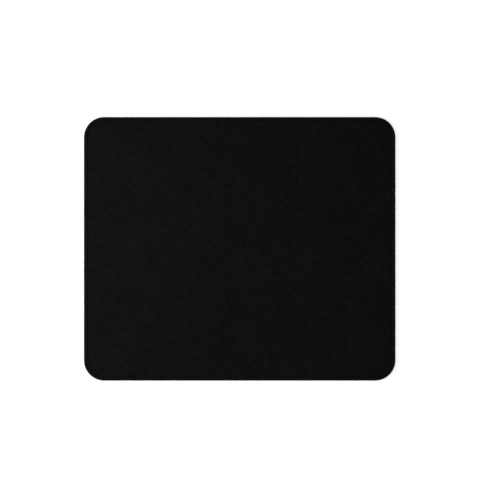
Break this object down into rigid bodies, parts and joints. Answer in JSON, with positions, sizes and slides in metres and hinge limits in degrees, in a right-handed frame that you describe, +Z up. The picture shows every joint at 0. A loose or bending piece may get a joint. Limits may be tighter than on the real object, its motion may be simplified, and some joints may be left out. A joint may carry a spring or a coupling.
{
  "type": "mouse pad",
  "caption": "Flat rectangular mouse pad with rounded corners: knitted cloth laminated to foamed rubber, with an overlocked thread edge.",
  "frame": {"origin": "middle of the underside, on the surface that the pad lies on", "axes": "+X right along the long side, +Y towards the far edge, +Z up out of the cloth"},
  "size_m": [0.26, 0.22, 0.0031],
  "materials": {
    "foamed_rubber": "matte",
    "hot_melt_film": "satin",
    "knitted_cloth": "matte",
    "needle_thread": "matte",
    "looper_thread": "matte"
  },
  "bodies": {
    "root": {"rubber_base": "foamed_rubber", "adhesive_film": "hot_melt_film", "cloth_top": "knitted_cloth", "needle_thread": "needle_thread", "upper_looper_thread": "looper_thread", "lower_looper_thread": "looper_thread"}
  },
  "joints": []
}
